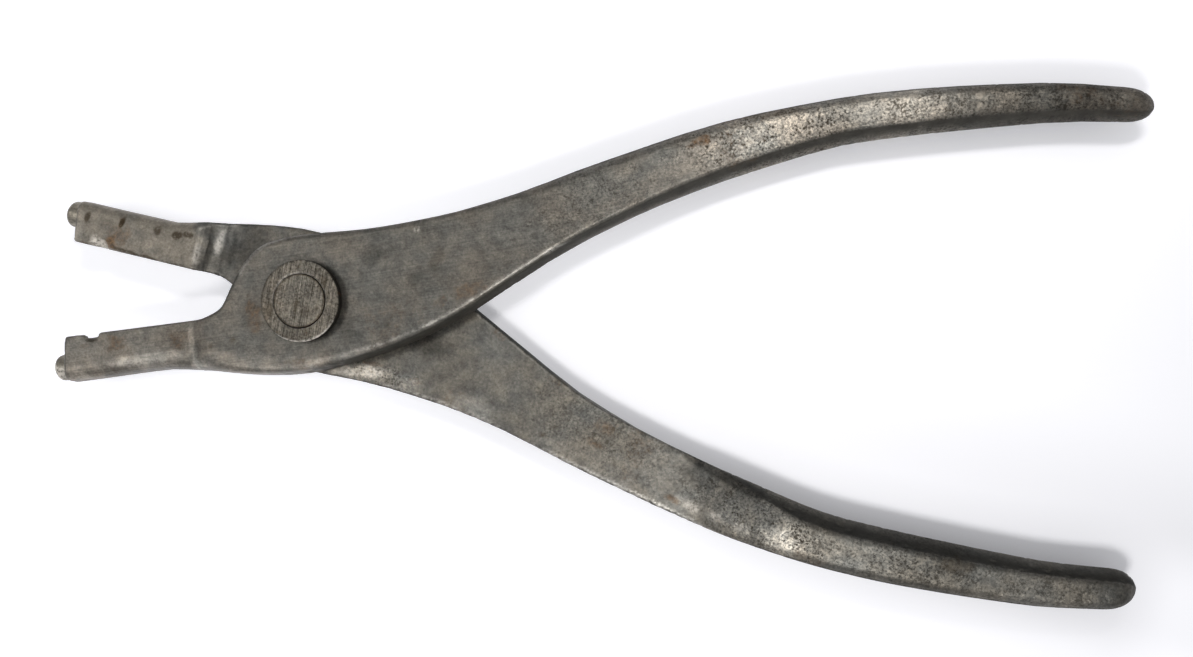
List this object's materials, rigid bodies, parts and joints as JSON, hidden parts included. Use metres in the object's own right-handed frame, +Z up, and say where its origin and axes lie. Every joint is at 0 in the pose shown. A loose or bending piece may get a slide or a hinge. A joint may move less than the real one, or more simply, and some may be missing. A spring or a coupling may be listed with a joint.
{
  "type": "pin-jaw pliers",
  "caption": "Forged lap-joint pliers with long bowed handles, half-round jaws that are flat inside, a round pin standing out of each jaw end, and a rivet and washer pivot.",
  "frame": {"origin": "on the rivet's axis, at the flat face of its rear head, which rests on the table", "axes": "+X from the pivot along the tool to the handles, +Y to the front lever's handle, +Z up along the rivet to the washer"},
  "size_m": [0.1971, 0.0875, 0.014],
  "materials": {
    "front_lever_steel": "worn bare forged steel, brushed on the cheek, speckled on the handle",
    "back_lever_steel": "worn bare forged steel, mottled grey, with light rust on the jaw",
    "rivet_steel": "ground and aged, brownish grey",
    "washer_steel": "ground and aged, brownish grey",
    "jaw_pin_steel": "worn bare steel, slightly tan"
  },
  "bodies": {
    "back_arm": {"back_lever": "back_lever_steel", "back_jaw_pin": "jaw_pin_steel", "pivot_rivet": "rivet_steel", "pivot_washer": "washer_steel"},
    "front_arm": {"front_lever": "front_lever_steel", "front_jaw_pin": "jaw_pin_steel"}
  },
  "joints": [
    {"name": "pivot", "type": "hinge", "parent": "back_arm", "child": "front_arm", "pos_m": [0, 0, 0], "axis": [0, 0, 1], "range_deg": [-21.3, 95]}
  ]
}
